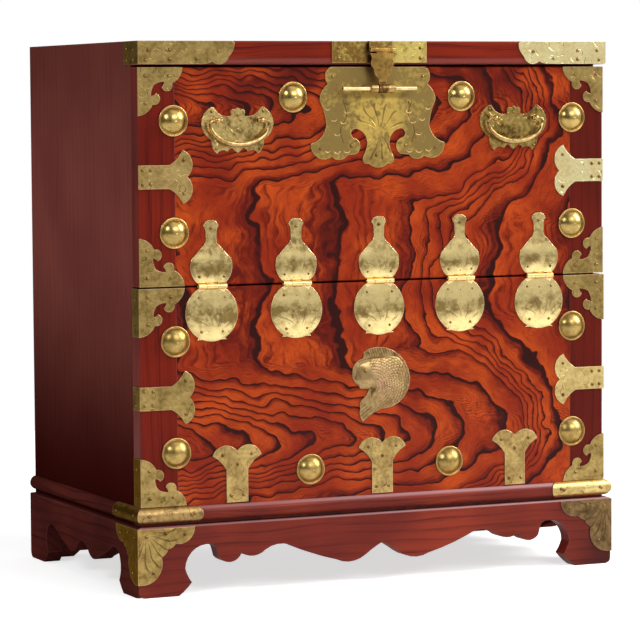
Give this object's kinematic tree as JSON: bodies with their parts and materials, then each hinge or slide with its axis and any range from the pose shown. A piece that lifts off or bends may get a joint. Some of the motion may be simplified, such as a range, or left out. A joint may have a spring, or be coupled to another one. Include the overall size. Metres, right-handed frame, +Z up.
{
  "type": "small tansu chest",
  "caption": "Lacquered elm blanket chest with a drop-down front flap on gourd hinges, a hasp and rod lock, swinging handles and a scalloped base.",
  "frame": {"origin": "middle of the chest's outline on the floor, hasp and fittings included", "axes": "+Z up, front faces -Y, +X to the right as one faces the front"},
  "size_m": [0.6164, 0.3833, 0.632],
  "materials": {
    "figured_elm": "gloss lacquer over figured elm",
    "border_elm": "gloss lacquer over straight-grained elm",
    "case_lacquer": "gloss dark lacquer",
    "base_lacquer": "gloss red-brown lacquer",
    "brass": "burnished, lightly engraved"
  },
  "bodies": {
    "case": {"side_left": "case_lacquer", "side_right": "case_lacquer", "top_board": "case_lacquer", "bottom_board": "case_lacquer", "back_panel": "case_lacquer", "lower_board": "figured_elm", "lower_border_left": "border_elm", "lower_border_right": "border_elm", "moulding_front": "base_lacquer", "moulding_left": "base_lacquer", "moulding_right": "base_lacquer", "apron_front": "base_lacquer", "apron_left": "base_lacquer", "apron_right": "base_lacquer", "apron_back": "base_lacquer", "base_corner_blocks": "base_lacquer", "top_corner_left": "brass", "top_corner_right": "brass", "lower_brackets_top": "brass", "lower_brackets_bottom": "brass", "lower_strap_left": "brass", "lower_strap_right": "brass", "bottom_straps": "brass", "lower_bosses": "brass", "carp_plate": "brass", "moulding_clip_left": "brass", "moulding_clip_right": "brass", "foot_bracket_left": "brass", "foot_bracket_right": "brass", "hasp_plate": "brass", "hasp_pin": "brass", "hinge_pins": "brass", "hinge_leaf_lower_1": "brass", "hinge_leaf_lower_2": "brass", "hinge_leaf_lower_3": "brass", "hinge_leaf_lower_4": "brass", "hinge_leaf_lower_5": "brass"},
    "flap": {"flap_board": "figured_elm", "flap_border_left": "border_elm", "flap_border_right": "border_elm", "flap_brackets_top": "brass", "flap_brackets_bottom": "brass", "flap_strap_left": "brass", "flap_strap_right": "brass", "flap_bosses": "brass", "lock_plate": "brass", "lock_eyes": "brass", "handle_plate_left": "brass", "handle_plate_right": "brass", "handle_posts": "brass", "hinge_leaf_upper_1": "brass", "hinge_leaf_upper_2": "brass", "hinge_leaf_upper_3": "brass", "hinge_leaf_upper_4": "brass", "hinge_leaf_upper_5": "brass"},
    "hasp": {"hasp": "brass"},
    "lock_rod": {"lock_rod": "brass"},
    "bail_left": {"bail_left": "brass"},
    "bail_right": {"bail_right": "brass"}
  },
  "joints": [
    {"name": "flap_open", "type": "hinge", "parent": "case", "child": "flap", "pos_m": [0, -0.17665, 0.353], "axis": [1, 0, 0], "range_deg": [0, 165]},
    {"name": "hasp_lift", "type": "hinge", "parent": "case", "child": "hasp", "pos_m": [0, -0.18635, 0.622], "axis": [-1, 0, 0], "range_deg": [0, 180]},
    {"name": "rod_slide", "type": "slide", "parent": "flap", "child": "lock_rod", "axis": [-1, 0, 0], "range_m": [0, 0.052]},
    {"name": "bail_left_swing", "type": "hinge", "parent": "flap", "child": "bail_left", "pos_m": [-0.178, -0.18135, 0.54155], "axis": [-1, 0, 0], "range_deg": [0, 150]},
    {"name": "bail_right_swing", "type": "hinge", "parent": "flap", "child": "bail_right", "pos_m": [0.178, -0.18135, 0.54155], "axis": [-1, 0, 0], "range_deg": [0, 150]}
  ]
}
